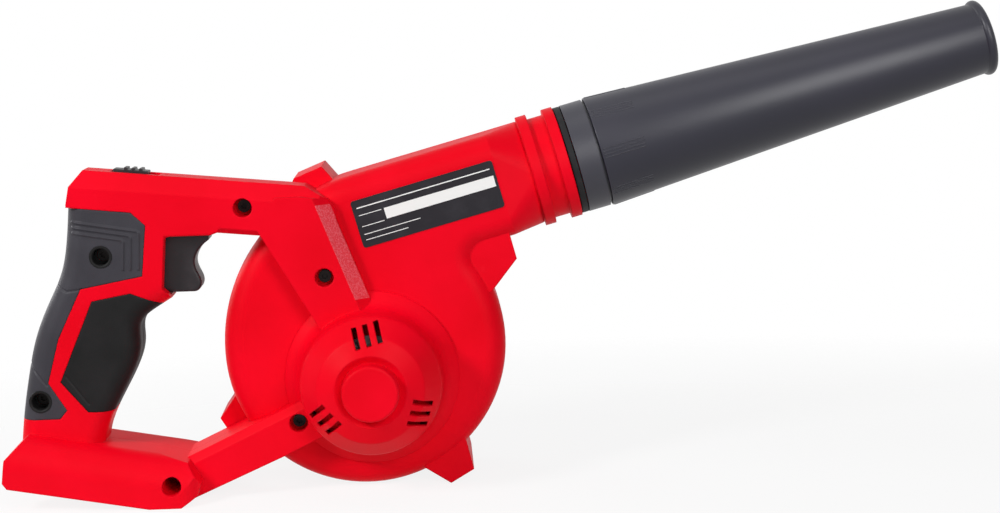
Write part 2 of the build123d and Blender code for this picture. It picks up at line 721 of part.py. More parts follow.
# Motor, turned about the fan axis.
motor_rear_y = motor_front_y - motor_length
can_inside = motor_radius - 1.6
motor_can = turned([
    (bearing_radius, motor_front_y), (motor_radius, motor_front_y), (motor_radius, motor_rear_y),
    (can_inside, motor_rear_y), (can_inside, motor_front_y - bearing_width), (bearing_radius, motor_front_y - bearing_width),
])
for x, z in motor_screw_spots:
    motor_can = motor_can - rod(x, z, screw_radius + running_fit, motor_front_y - 3.6, motor_front_y + 1)
mount_near = motor_front_y
motor_mount = rod(0, 0, motor_radius + 5, mount_near, scroll_near) - rod(0, 0, bearing_radius + 1, mount_near - 1, 0)
for x, z in motor_screw_spots:
    motor_mount = motor_mount - rod(x, z, screw_radius + 0.2, mount_near - 1, 0)
motor_screws = [
    rod(x, z, 2.8, scroll_near + wall, scroll_near + wall + 1.6) + rod(x, z, screw_radius, motor_front_y - 3.4, -3)
    for x, z in motor_screw_spots
]
bearing_front = rod(0, 0, bearing_radius, motor_front_y - bearing_width, motor_front_y)
bearing_front = bearing_front - rod(0, 0, shaft_radius + running_fit, -60, 0)
bell_end = motor_rear_y - 3
motor_endbell = turned([
    (bearing_radius, motor_rear_y), (motor_radius, motor_rear_y), (motor_radius, bell_end),
    (bearing_radius + 2, bell_end), (bearing_radius + 2, bell_end - 3), (bearing_radius, bell_end - 3),
])
bearing_rear = rod(0, 0, bearing_radius, bell_end - 3, motor_rear_y - 0.4)
bearing_rear = bearing_rear - rod(0, 0, shaft_radius + running_fit, -60, 0)
magnet_inside = armature_radius + 0.8
magnet_ring = rod(0, 0, can_inside, motor_rear_y + 8, motor_front_y - bearing_width - 1)
magnet_ring = magnet_ring - rod(0, 0, magnet_inside, -60, 0)
motor_magnets = [
    s for s in (magnet_ring - block(-7, 7, -60, 0, -30, 30)).solids()
]
armature = rod(0, 0, armature_radius, motor_rear_y + 9, motor_front_y - bearing_width - 2)
for k in range(8):
    groove = block(armature_radius - 4, armature_radius + 2, -1.3, 1.3, 0, 60)
    armature = armature - Pos(0, -60, 0) * Rot(-90, 0, 0) * Rot(0, 0, k * 45) * groove
armature = armature - rod(0, 0, shaft_radius, -60, 0)
commutator = rod(0, 0, commutator_radius, motor_rear_y + 1.5, motor_rear_y + 7) - rod(0, 0, shaft_radius, -60, 0)
brush_face = commutator_radius + 0.35
brush_end = can_inside - 0.3
brush_low = motor_rear_y
carbon_brushes = [
    block(brush_face, brush_end, brush_low, brush_low + 5, -2, 2),
    block(-brush_end, -brush_face, brush_low, brush_low + 5, -2, 2),
]
shaft_end = fan_near_y + fan_depth + 4
motor_shaft = rod(0, 0, shaft_radius, bell_end - 4, shaft_end)

# Fan with curved blades.
fan_far_y = fan_near_y + fan_depth
fan = rod(0, 0, fan_radius, fan_near_y, fan_near_y + 2)
fan = fan + rod(0, 0, fan_hub_radius, fan_near_y, fan_far_y - 2)
blade_face = make_face(Polyline(
    (fan_hub_radius + 12, -1), (fan_radius - 12, 5), (fan_radius - 0.6, 15), (fan_radius - 0.6, 15 + fan_blade_thickness * 1.3),
    (fan_radius - 13, 5 + fan_blade_thickness), (fan_hub_radius + 12, -1 + fan_blade_thickness), close=True,
))
blade = extrude(blade_face, amount=fan_depth - 1, dir=(0, 0, 1))
for k in range(fan_blade_count):
    turn = Rot(0, 0, k * 360 / fan_blade_count)
    fan = fan + Pos(0, fan_near_y + 1, 0) * Rot(-90, 0, 0) * turn * blade
fan = fan & rod(0, 0, fan_radius, 0, 100)
rim = rod(0, 0, fan_radius, fan_far_y - 2, fan_far_y) - rod(0, 0, fan_radius - 14, fan_far_y - 3, fan_far_y + 1)
impeller = fan + rim - rod(0, 0, shaft_radius, 0, 60)
nut_face = make_face(RegularPolygon(4.6, 6))
fan_nut = extrude(nut_face, amount=4, dir=(0, 0, 1))
fan_nut = Pos(0, fan_far_y - 2, 0) * Rot(-90, 0, 0) * fan_nut - rod(0, 0, shaft_radius, 0, 60)

# Trigger with its stem, plunger and spring.
finger_curve = Spline(
    (-97.5, 0, trigger_low_z), (-93.8, 0, 53.6), (-92.7, 0, 56.8), (-95.3, 0, 64.4), (-96.1, 0, 68.4), (-95.1, 0, 72.6),
    (-92.0, 0, 77.2), (-87.6, 0, 80.8),
)
trigger_back = Polyline(
    (-87.6, 0, 80.8), (-87.6, 0, 84), (-95, 0, 84), (-95, 0, 93), (-109.7, 0, 93), (trigger_rear_x, 0, 80),
    (trigger_rear_x, 0, 56), (-113.5, 0, trigger_low_z), (-97.5, 0, trigger_low_z),
)
trigger_face = make_face([finger_curve, trigger_back])
trigger = extrude(trigger_face, amount=trigger_half_width, dir=(0, 1, 0))
trigger = trigger + extrude(trigger_face, amount=trigger_half_width, dir=(0, -1, 0))
soft_edges = [
    e for e in trigger.edges()
    if e.bounding_box().size.Y < 0.01 and e.geom_type != GeomType.LINE
]
trigger = fillet(soft_edges, 1.8)
plunger = Pos(trigger_rear_x, 0, plunger_z) * Rot(0, -90, 0) * Cylinder(
    plunger_radius, 17, align=(Align.CENTER, Align.CENTER, Align.MIN),
)
switch_rear = switch_front_x - switch_length
trigger_switch = block(switch_rear, switch_front_x, -switch_side, switch_side, switch_low_z, switch_low_z + switch_height)
plunger_hole = Pos(switch_front_x + 1, 0, plunger_z) * Rot(0, -90, 0) * Cylinder(
    plunger_radius + sliding_gap, 16, align=(Align.CENTER, Align.CENTER, Align.MIN),
)
trigger_switch = trigger_switch - plunger_hole
spring_space = trigger_rear_x - switch_front_x - 2 * sliding_gap
spring_tube = Pos(trigger_rear_x - sliding_gap, 0, plunger_z) * Rot(0, -90, 0) * (
    Cylinder(4.2, spring_space, align=(Align.CENTER, Align.CENTER, Align.MIN))
    - Cylinder(3.2, spring_space, align=(Align.CENTER, Align.CENTER, Align.MIN))
)

# Speed slider with three thumb ridges, its board and its switch.
under_top = -wall - sliding_gap
slider = block(slider_start, slider_start + slider_length, -slider_half_width, slider_half_width, under_top - 1, slider_rise)
plate_start = slider_start - 3
plate_end = slider_start + slider_length + 3
slider = slider + block(plate_start, plate_end, -slider_half_width - 2, slider_half_width + 2, under_top - 1.8, under_top)
for k in range(3):
    ridge = block(0, 2.0, -slider_half_width, slider_half_width, 0, slider_rise + 1.2)
    slider = slider + Pos(slider_start + slider_length * 0.3 + k * 4.2, 0, 0) * ridge
speed_slider = top_place * slider
board_half = handle_half_width - wall
board_top = under_top - 1.8 - sliding_gap - 4
speed_switch = top_place * block(slider_start + 2, slider_start + 18, -3.5, 3.5, board_top, board_top + 4)
speed_board = top_place * block(slider_start - 4, slider_start + 28, -board_half, board_half, board_top - 1.6, board_top)

# Terminal block and contact blades in the roof of the battery slot.
terminal_end = terminal_start + terminal_length
terminal_block = foot_place * block(terminal_start, terminal_end, -12, 12, slot_depth - 7, slot_depth)
blade_offsets = [-8.0, -2.7, 2.7, 8.0]
terminal_blades = [
    foot_place * block(terminal_end, terminal_end + 12, y - 0.4, y + 0.4, slot_depth - 6, slot_depth - 1)
    for y in blade_offsets
]


def wire(points, bend):
    path = FilletPolyline(*points, radius=bend)
    start = Plane(origin=points[0], z_dir=path % 0)
    return sweep(start * Circle(wire_radius), path=path)


# Battery leads run up the grip to the switch.
lead_bottom = foot_point(terminal_start + 12, slot_depth)
lead_turn = foot_point(terminal_start + 12, slot_depth + 22)


def battery_lead(y):
    return wire([
        (lead_bottom[0], y, lead_bottom[1]), (lead_turn[0], y, lead_turn[1]),
        (-146, y, switch_low_z - 25), (-146, y, switch_low_z),
    ], 8.0)


# Motor leads run along the handle and down the upper strut to the end bell.
def motor_lead(y, strut_y, dome_x, dome_z):
    bell_y = (motor_rear_y + bell_end) / 2
    turn = motor_radius / math.hypot(dome_x, dome_z)
    top = switch_low_z + switch_height
    return wire([
        (-135.5, y, top), (-135.5, y, handle_top(-135.5) - lead_depth), (-93, y, handle_top(-93) - lead_depth),
        (-76, y, handle_top(-76) - lead_depth - 7.4), (-52, strut_y, handle_top(-52) - lead_depth - 4.3), (-42, strut_y, 76),
        (-36.0, strut_y, 60), (dome_x, strut_y, dome_z), (dome_x, bell_y, dome_z),
        (dome_x * turn, bell_y, dome_z * turn),
    ], 4.0)


# Build the set, then move it so the floor is z = 0 and the middle is x = 0, y = 0.
pieces = {
    "handle_shell_right": shell_right,
    "handle_shell_left": shell_left,
    "fan_housing_right": fan_housing_right,
    "fan_housing_left": fan_housing_left,
    "intake_grille": intake_grille,
    "grille_screws": Compound(grille_screws),
    "fan_housing_screws": Compound(tab_screws),
    "handle_screws": Compound(handle_screws),
    "strut_screws": Compound(strut_screws),
    "grip_rear_right": (rear_pads & half_right) - pad_wells,
    "grip_rear_left": rear_pads & half_left,
    "grip_front_right": front_pads & half_right,
    "grip_front_left": front_pads & half_left,
    "rating_label": rating_label,
    "nozzle_seal": nozzle_seal,
    "nozzle_collar": collar,
    "nozzle": nozzle,
    "motor_can": motor_can,
    "motor_endbell": motor_endbell,
    "motor_magnets": Compound(motor_magnets),
    "motor_mount": motor_mount,
    "motor_screws": Compound(motor_screws),
    "bearing_front": bearing_front,
    "bearing_rear": bearing_rear,
    "carbon_brushes": Compound(carbon_brushes),
    "armature": armature,
    "commutator": commutator,
    "motor_shaft": motor_shaft,
    "impeller": impeller,
    "fan_nut": fan_nut,
    "trigger": trigger,
    "trigger_plunger": plunger,
    "trigger_spring": spring_tube,
    "trigger_switch": trigger_switch,
    "speed_slider": speed_slider,
    "speed_switch": speed_switch,
    "speed_board": speed_board,
    "terminal_block": terminal_block,
    "terminal_blades": Compound(terminal_blades),
    "battery_lead_positive": battery_lead(-5.0),
    "battery_lead_negative": battery_lead(5.0),
    "motor_lead_positive": motor_lead(-3.0, -8.2, -14.0, 24.0),
    "motor_lead_negative": motor_lead(-6.6, -11.8, -6.0, 27.0),
}
low = [min(getattr(p.bounding_box().min, a) for p in pieces.values()) for a in "XYZ"]
high = [max(getattr(p.bounding_box().max, a) for p in pieces.values()) for a in "XYZ"]
shift = Pos(-(low[0] + high[0]) / 2, -(low[1] + high[1]) / 2, -low[2])
os.makedirs("parts", exist_ok=True)
for name, piece in pieces.items():
    export_step(shift * piece, "parts/" + name + ".step")
print("size", [round(h - l, 2) for l, h in zip(low, high)])
print("fan axis at", [round(v, 3) for v in (shift.position.X, shift.position.Y, shift.position.Z)])
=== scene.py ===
import json
import math
import bmesh
import bpy
import numpy as np
from mathutils import Matrix, Vector


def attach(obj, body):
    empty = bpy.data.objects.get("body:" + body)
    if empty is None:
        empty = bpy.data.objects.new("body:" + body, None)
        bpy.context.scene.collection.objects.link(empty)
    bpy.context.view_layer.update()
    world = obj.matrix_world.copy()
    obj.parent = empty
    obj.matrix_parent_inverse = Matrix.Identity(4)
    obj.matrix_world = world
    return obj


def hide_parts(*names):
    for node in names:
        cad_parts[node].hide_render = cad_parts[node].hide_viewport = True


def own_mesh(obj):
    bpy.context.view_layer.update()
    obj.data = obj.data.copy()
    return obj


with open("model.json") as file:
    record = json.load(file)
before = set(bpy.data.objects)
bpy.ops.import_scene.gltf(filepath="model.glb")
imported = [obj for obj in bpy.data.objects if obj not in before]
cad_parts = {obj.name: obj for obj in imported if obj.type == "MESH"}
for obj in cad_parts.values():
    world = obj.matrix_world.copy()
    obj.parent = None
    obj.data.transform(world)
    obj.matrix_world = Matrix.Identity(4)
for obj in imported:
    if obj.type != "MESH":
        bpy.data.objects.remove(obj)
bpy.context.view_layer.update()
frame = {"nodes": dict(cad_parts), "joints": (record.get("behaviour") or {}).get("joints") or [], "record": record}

nodes = frame["nodes"]
joints = {j["name"]: j for j in frame["joints"]}
fanAxis = Vector(joints["rotor_spin"]["pos_m"])          # where the fan axis meets the handle's middle plane
tubeStart = Vector(joints["nozzle_twist"]["pos_m"])      # face of the second outlet ring
tubeDirection = Vector(joints["nozzle_twist"]["axis"]).normalized()
tubeUp = Vector((-tubeDirection.z, 0, tubeDirection.x))
mm = 0.001
weld = 1e-6                                              # points nearer than this become one
print("frame loaded", len(nodes), "nodes")


class Link:                                              # a socket that takes part in sums
    def __init__(self, tree, socket):
        self.tree = tree
        self.socket = socket

    def sum(self, operation, first, second=None):
        inputs = {0: first} if second is None else {0: first, 1: second}
        return self.tree.make("ShaderNodeMath", {"operation": operation}, inputs)

    def __add__(self, other): return self.sum("ADD", self, other)
    def __radd__(self, other): return self.sum("ADD", other, self)
    def __sub__(self, other): return self.sum("SUBTRACT", self, other)
    def __rsub__(self, other): return self.sum("SUBTRACT", other, self)
    def __mul__(self, other): return self.sum("MULTIPLY", self, other)
    def __rmul__(self, other): return self.sum("MULTIPLY", other, self)
    def __truediv__(self, other): return self.sum("DIVIDE", self, other)
    def __rtruediv__(self, other): return self.sum("DIVIDE", other, self)
    def __mod__(self, other): return self.sum("FLOORED_MODULO", self, other)
    def __lt__(self, other): return self.sum("LESS_THAN", self, other)
    def __gt__(self, other): return self.sum("GREATER_THAN", self, other)
    def __abs__(self): return self.sum("ABSOLUTE", self)
    def floor(self): return self.sum("FLOOR", self)
    def cosine(self): return self.sum("COSINE", self)
    def sine(self): return self.sum("SINE", self)
    def larger(self, other): return self.sum("MAXIMUM", self, other)


class Tree:                                              # nodes of one material or one geometry group
    def __init__(self, nodeTree):
        self.nodeTree = nodeTree

    def make(self, kind, settings, inputs, output=0):
        node = self.nodeTree.nodes.new(kind)
        for key, value in settings.items():
            if key == "stops":
                for spot, (position, shade) in zip(node.color_ramp.elements, value):
                    spot.position = position
                    spot.color = (shade, shade, shade, 1)
            else:
                setattr(node, key, value)
        for key, value in inputs.items():
            for item in value if isinstance(value, list) else [value]:
                if isinstance(item, Link):
                    self.nodeTree.links.new(item.socket, node.inputs[key])
                else:
                    node.inputs[key].default_value = item
        return Link(self, node.outputs[output])

    def split(self, vector):
        return [self.make("ShaderNodeSeparateXYZ", {}, {0: vector}, axis) for axis in range(3)]

    def joined(self, x, y, z):
        return self.make("ShaderNodeCombineXYZ", {}, {0: x, 1: y, 2: z})


class Finish(Tree):                                      # one material, its patterns on Object coordinates
    def __init__(self, name, colour, roughness, metallic=0.0, specular=0.5):
        self.material = bpy.data.materials.new(name)
        self.material.use_nodes = True
        super().__init__(self.material.node_tree)
        self.shader = self.nodeTree.nodes["Principled BSDF"]
        plain = {"Base Color": (*colour, 1), "Roughness": roughness, "Metallic": metallic,
                 "Specular IOR Level": specular}
        for key, value in plain.items():
            self.shader.inputs[key].default_value = value
        self.material.diffuse_color = (*colour, 1)
        self.place = self.make("ShaderNodeTexCoord", {}, {}, "Object")

    def noise(self, scale, detail=3.0, roughness=0.55):
        inputs = {"Vector": self.place, "Scale": scale, "Detail": detail, "Roughness": roughness}
        return self.make("ShaderNodeTexNoise", {}, inputs)

    def ramp(self, value, low, high):
        return self.make("ShaderNodeValToRGB", {"stops": [(low, 0.0), (high, 1.0)]}, {"Fac": value})

    def mix(self, factor, first, second):
        first, second = [v if isinstance(v, Link) else (*v, 1) for v in (first, second)]
        return self.make("ShaderNodeMix", {"data_type": "RGBA"}, {0: factor, 6: first, 7: second}, 2)

    def feed(self, name, link):
        self.nodeTree.links.new(link.socket, self.shader.inputs[name])

    def bump(self, height, distance, strength, rounding=0.0):
        inputs = {"Height": height, "Distance": distance, "Strength": strength}
        if rounding:
            inputs["Normal"] = self.make("ShaderNodeBevel", {"samples": 6}, {"Radius": rounding})
        self.feed("Normal", self.make("ShaderNodeBump", {}, inputs))


class Graph(Tree):                                       # geometry nodes, baked to a mesh
    def __init__(self, name, numbers):
        group = bpy.data.node_groups.new(name, "GeometryNodeTree")
        super().__init__(group)
        group.interface.new_socket("Geometry", in_out="INPUT", socket_type="NodeSocketGeometry")
        group.interface.new_socket("Geometry", in_out="OUTPUT", socket_type="NodeSocketGeometry")
        self.keys = {}
        for key in numbers:
            socket = group.interface.new_socket(key, in_out="INPUT", socket_type="NodeSocketFloat")
            self.keys[key] = socket.identifier
        entry = group.nodes.new("NodeGroupInput")
        self.points = Link(self, entry.outputs["Geometry"])
        self.number = {key: Link(self, entry.outputs[key]) for key in numbers}
        self.exit = group.nodes.new("NodeGroupOutput")

    def bake(self, instances, points, numbers, slot):
        real = self.make("GeometryNodeRealizeInstances", {}, {0: instances})
        done = self.make("GeometryNodeSetMaterial", {}, {0: real, "Material": finishes[slot]})
        self.nodeTree.links.new(done.socket, self.exit.inputs[0])
        seed = bpy.data.meshes.new("seed")
        seed.from_pydata(points, [], [])
        holder = addObject("holder", seed)
        modifier = holder.modifiers.new("graph", "NODES")
        modifier.node_group = self.nodeTree
        for key, value in numbers.items():
            modifier[self.keys[key]] = value
        return bakedMesh(holder)


def addObject(name, data):
    item = bpy.data.objects.new(name, data)
    bpy.context.scene.collection.objects.link(item)
    return item


def bakedMesh(holder):                                   # the holder's finished mesh, without the holder
    bpy.context.view_layer.update()
    mesh = bpy.data.meshes.new_from_object(holder.evaluated_get(bpy.context.evaluated_depsgraph_get()))
    bpy.data.objects.remove(holder)
    return mesh


def fromFan(x, y, z):                                    # millimetres from the fan axis and the handle's middle
    return fanAxis + Vector((x, y, z)) * mm


def labelCentre():
    box = nodes["rating_label"].bound_box
    return (Vector(box[0]) + Vector(box[6])) / 2


# Finishes
def mouldedRed():
    # the pale pink colour in this table is a painted highlight for the strut's sloping facet
    look = {"base": (0.84, 0.0010, 0.0150), "deep": (0.70, 0.0006, 0.008), "worn": (0.90, 0.030, 0.055),
            "paintedHighlight": (0.86, 0.16, 0.20), "specular": 0.06, "wear": 0.10, "highlightLeast": 0.25, "highlightMore": 0.55}
    rough = {"plain": 0.44, "least": 0.34, "broad": 0.10, "grain": 0.12, "frostAndHighlight": 0.15}
    relief = {"frostAndHighlight": 1.5, "distance": 0.00010, "strength": 0.55, "rounding": 0.0012}
    facet = {"top": fromFan(-21.3, -11.0, 101.9), "low": 46.0, "high": 99.0,      # sloping side of the upper strut, frosted and given a painted highlight
             "facing": Vector((0.934, -1.0, 0.357)).normalized(), "near": 0.00015, "past": 0.0003}
    f = Finish("mouldedRed", look["base"], rough["plain"], specular=look["specular"])
    broad = f.noise(scale=14)
    grain = f.noise(scale=1700, detail=2, roughness=0.6)
    speckle = f.ramp(f.noise(scale=1100, detail=3, roughness=0.7), low=0.42, high=0.62)
    scuff = f.ramp(f.noise(scale=95, detail=5, roughness=0.7), low=0.64, high=0.76)
    x, y, z = f.split(f.place)
    n = facet["facing"]
    away = abs(x * n.x + y * n.y + z * n.z - facet["top"].dot(n))
    height = (z - fanAxis.z) / mm
    # mask of the sloping strut facet: really frosted (rougher, bumpier), and its colour is a painted highlight
    frostAndHighlight = (away < facet["near"]) * (height > facet["low"]) * (height < facet["high"])
    frostAndHighlight = frostAndHighlight * (y < facet["top"].y + facet["past"])
    tone = f.mix(f.ramp(broad, low=0.3, high=0.7), look["deep"], look["base"])
    tone = f.mix(scuff * look["wear"], tone, look["worn"])
    # painted highlight: the facet's colour is pulled, speckled, towards a pale pink
    highlightCover = frostAndHighlight * (look["highlightLeast"] + look["highlightMore"] * speckle)
    f.feed("Base Color", f.mix(highlightCover, tone, look["paintedHighlight"]))
    f.feed("Roughness", rough["least"] + rough["broad"] * broad + rough["grain"] * grain + rough["frostAndHighlight"] * frostAndHighlight)
    height = grain + relief["frostAndHighlight"] * frostAndHighlight * speckle
    f.bump(height, relief["distance"], relief["strength"], relief["rounding"])
    return f.material


def nozzlePlastic(name, base, pale, roughness):
    look = {"scratch": (0.10, 0.10, 0.115), "scratched": 0.2, "specular": 0.46}
    rough = {"least": roughness - 0.05, "broad": 0.14, "grain": 0.06}
    f = Finish(name, base, roughness, specular=look["specular"])
    broad = f.noise(scale=11, detail=4)
    grain = f.noise(scale=2300, detail=2, roughness=0.5)
    scratch = f.ramp(f.noise(scale=210, detail=6, roughness=0.75), low=0.66, high=0.75)
    tone = f.mix(f.ramp(broad, low=0.35, high=0.75), base, pale)
    f.feed("Base Color", f.mix(scratch * look["scratched"], tone, look["scratch"]))
    f.feed("Roughness", rough["least"] + rough["broad"] * broad + rough["grain"] * grain)
    f.bump(grain, distance=0.00006, strength=0.5, rounding=0.0006)
    return f.material


def softRubber(name, base, dust, specular):
    look = {"grain": 1500, "roughness": 0.5, "least": 0.44, "broad": 0.16}
    f = Finish(name, base, look["roughness"], specular=specular)
    grain = {"Vector": f.place, "Scale": look["grain"]}
    cells = f.make("ShaderNodeTexVoronoi", {"feature": "SMOOTH_F1"}, grain)
    broad = f.noise(scale=26, detail=4)
    f.feed("Base Color", f.mix(f.ramp(broad, low=0.42, high=0.8), base, dust))
    f.feed("Roughness", look["least"] + look["broad"] * broad)
    f.bump(cells, distance=0.00010, strength=0.5)
    return f.material


def blackPlastic():
    look = {"base": (0.016, 0.0125, 0.0145), "worn": (0.034, 0.030, 0.033), "specular": 0.26,
            "roughness": 0.42, "least": 0.30, "broad": 0.22}
    f = Finish("blackPlastic", look["base"], look["roughness"], specular=look["specular"])
    broad = f.noise(scale=40, detail=4)
    grain = f.noise(scale=1900, detail=2)
    f.feed("Base Color", f.mix(f.ramp(broad, low=0.55, high=0.85), look["base"], look["worn"]))
    f.feed("Roughness", look["least"] + look["broad"] * broad)
    f.bump(grain, distance=0.00008, strength=0.5, rounding=0.0005)
    return f.material


def sealRubber():
    look = {"base": (0.008, 0.008, 0.009), "dust": (0.03, 0.03, 0.031), "specular": 0.2,
            "roughness": 0.6, "least": 0.5, "fine": 0.25}
    f = Finish("sealRubber", look["base"], look["roughness"], specular=look["specular"])
    fine = f.noise(scale=900, detail=4)
    dusty = f.ramp(f.noise(scale=60), low=0.5, high=0.8)
    f.feed("Base Color", f.mix(dusty, look["base"], look["dust"]))
    f.feed("Roughness", look["least"] + look["fine"] * fine)
    f.bump(fine, distance=0.00008, strength=0.5)
    return f.material


def printedFilm():
    look = {"film": (0.010, 0.008, 0.012), "white": (0.80, 0.80, 0.79), "wear": (0.026, 0.024, 0.030),
            "specular": 0.25, "roughness": 0.3, "least": 0.26, "fine": 0.14}
    bars = [(-24.0, 39.5, -1.2, 5.0), (-38.5, 38.5, 8.7, 9.3),              # pale field and plain stripes:
            (-38.5, -25.5, 4.5, 4.9), (-38.5, -25.5, -1.9, -1.5),           # left, right, low, high in millimetres
            (-38.5, -6.0, -6.4, -6.0), (-38.5, -14.0, -9.6, -9.2)]
    centre = labelCentre()
    f = Finish("printedFilm", look["film"], look["roughness"], specular=look["specular"])
    x, _, z = f.split(f.place)
    across = ((x - centre.x) * tubeDirection.x + (z - centre.z) * tubeDirection.z) / mm
    up = ((x - centre.x) * tubeUp.x + (z - centre.z) * tubeUp.z) / mm
    ink = None
    for left, right, low, high in bars:
        bar = (across > left) * (across < right) * (up > low) * (up < high)
        ink = bar if ink is None else ink.larger(bar)
    worn = f.ramp(f.noise(scale=60, detail=4), low=0.5, high=0.85)
    f.feed("Base Color", f.mix(ink, f.mix(worn, look["film"], look["wear"]), look["white"]))
    f.feed("Roughness", look["least"] + look["fine"] * f.noise(scale=80))
    f.bump(f.noise(scale=700, detail=2), distance=0.00002, strength=0.3)
    return f.material


def metalFinish(name, base, dull, roughness, stretch=(1, 1, 1)):
    look = {"lines": 900.0, "least": roughness - 0.08, "lineRough": 0.2}
    f = Finish(name, base, roughness, metallic=1.0)
    turned = f.make("ShaderNodeMapping", {}, {"Vector": f.place, "Scale": stretch})
    lines = f.make("ShaderNodeTexNoise", {}, {"Vector": turned, "Scale": look["lines"], "Detail": 3.0})
    dulled = f.ramp(f.noise(scale=70, detail=4), low=0.45, high=0.8)
    f.feed("Base Color", f.mix(dulled, base, dull))
    f.feed("Roughness", look["least"] + look["lineRough"] * lines)
    f.bump(lines, distance=0.00004, strength=0.4)
    return f.material


def plainFinish(name, base, spot, roughness):
    look = {"broad": 60, "grain": 1200, "least": roughness - 0.1, "broadRough": 0.2}
    f = Finish(name, base, roughness)
    broad = f.noise(look["broad"], detail=4)
    f.feed("Base Color", f.mix(f.ramp(broad, low=0.45, high=0.8), base, spot))
    f.feed("Roughness", look["least"] + look["broadRough"] * broad)
    f.bump(f.noise(look["grain"], detail=2), distance=0.00005, strength=0.4)
    return f.material


alongShaft = (1, 0.1, 1)                                 # draws the lines of turned steel out along y
finishes = {
    "red_plastic": mouldedRed(),
    "dark_plastic": nozzlePlastic("nozzlePlastic", (0.0065, 0.0065, 0.0145), (0.011, 0.010, 0.021), 0.345),
    "soft_grip": softRubber("softRubber", (0.030, 0.028, 0.035), (0.048, 0.046, 0.056), 0.22),
    "black_plastic": blackPlastic(),
    "seal_rubber": sealRubber(),
    "label_film": printedFilm(),
    "screw_steel": metalFinish("screwSteel", (0.016, 0.014, 0.014), (0.030, 0.027, 0.026), 0.46),
    "motor_steel": metalFinish("motorSteel", (0.42, 0.42, 0.43), (0.28, 0.27, 0.25), 0.4, alongShaft),
    "shaft_steel": metalFinish("shaftSteel", (0.60, 0.60, 0.61), (0.45, 0.44, 0.42), 0.25, alongShaft),
    "magnet": plainFinish("magnet", (0.07, 0.07, 0.075), (0.11, 0.10, 0.10), 0.7),
    "copper": metalFinish("copper", (0.72, 0.36, 0.19), (0.42, 0.22, 0.13), 0.32),
    "carbon": plainFinish("carbon", (0.02, 0.02, 0.02), (0.05, 0.05, 0.05), 0.75),
    "board_green": plainFinish("boardGreen", (0.015, 0.11, 0.045), (0.03, 0.17, 0.07), 0.35),
    "wire_red": plainFinish("wireRed", (0.42, 0.015, 0.015), (0.50, 0.04, 0.03), 0.45),
    "wire_black": plainFinish("wireBlack", (0.012, 0.012, 0.012), (0.03, 0.03, 0.03), 0.45),
    "spring_steel": metalFinish("springSteel", (0.5, 0.5, 0.5), (0.35, 0.34, 0.33), 0.3),
}
slots = {s["node"]: s["material_slot"] for s in frame["record"]["subparts"]}
palmRubber = softRubber("palmRubber", (0.007, 0.007, 0.007), (0.016, 0.015, 0.016), 0.13)
collarPlastic = nozzlePlastic("collarPlastic", (0.022, 0.022, 0.032), (0.032, 0.031, 0.043), 0.36)
for name, node in nodes.items():
    node.data.materials.clear()
    node.data.materials.append(collarPlastic if name == "nozzle_collar" else finishes[slots[name]])
print("finishes set")


def addPiece(name, mesh, body, slot, replaced=(), finish=None):
    piece = addObject(name, mesh)
    if not mesh.materials:
        mesh.materials.append(finish or finishes[slot])
    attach(piece, body)
    if replaced:
        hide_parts(*replaced)
    return piece


def smoothMesh(mesh, angle):                             # smooth shading, with edges past the angle sharp
    mesh.shade_smooth()
    mesh.set_sharp_from_angle(angle=math.radians(angle))
    return mesh


def fromBmesh(bm, name, matrix=None, angle=35):
    bmesh.ops.remove_doubles(bm, verts=bm.verts, dist=weld)
    bmesh.ops.recalc_face_normals(bm, faces=bm.faces)
    mesh = bpy.data.meshes.new(name)
    bm.to_mesh(mesh)
    bm.free()
    if matrix is not None:
        mesh.transform(matrix)
    return smoothMesh(mesh, angle)


def bridge(bm, here, after):                             # a band of faces between two closed rows of points
    for i in range(len(here)):
        j = (i + 1) % len(here)
        bm.faces.new([here[i], after[i], after[j], here[j]])


def lathe(profile, segments):                            # closed run of radius and height pairs, turned about z
    bm = bmesh.new()
    rings = []
    for k in range(segments):
        turn = 2 * math.pi * k / segments
        ring = [(r * mm * math.cos(turn), r * mm * math.sin(turn), h * mm) for r, h in profile]
        rings.append([bm.verts.new(place) for place in ring])
    for k in range(segments):
        bridge(bm, rings[k], rings[(k + 1) % segments])
    return bm


def mergedNode(name):                                    # a copy of a solid's mesh with its triangles joined up
    bm = bmesh.new()
    bm.from_mesh(nodes[name].data)
    bmesh.ops.remove_doubles(bm, verts=bm.verts, dist=weld)
    return bm


def softened(name, voxel, rounds):                       # the solid again, with its edges rounded over
    bm = mergedNode(name)
    mesh = bpy.data.meshes.new(name + "Soft")
    bm.to_mesh(mesh)
    bm.free()
    holder = addObject("holder", mesh)
    remesh = holder.modifiers.new("remesh", "REMESH")
    remesh.mode = "VOXEL"
    remesh.voxel_size = voxel * mm
    smooth = holder.modifiers.new("smooth", "SMOOTH")
    smooth.factor = 0.5
    smooth.iterations = rounds
    baked = bakedMesh(holder)
    baked.materials.clear()
    baked.shade_smooth()
    return baked


def looseParts(name):                                    # low and high corner of every solid in a node
    bm = mergedNode(name)
    left = set(bm.verts)
    corners = []
    for first in bm.verts:
        if first not in left:
            continue
        left.remove(first)
        front = [first]
        part = []
        while front:
            vert = front.pop()
            part.append(vert.co.copy())
            for edge in vert.link_edges:
                other = edge.other_vert(vert)
                if other in left:
                    left.remove(other)
                    front.append(other)
        corners.append([Vector([pick(c[i] for c in part) for i in range(3)]) for pick in (min, max)])
    bm.free()
    return corners


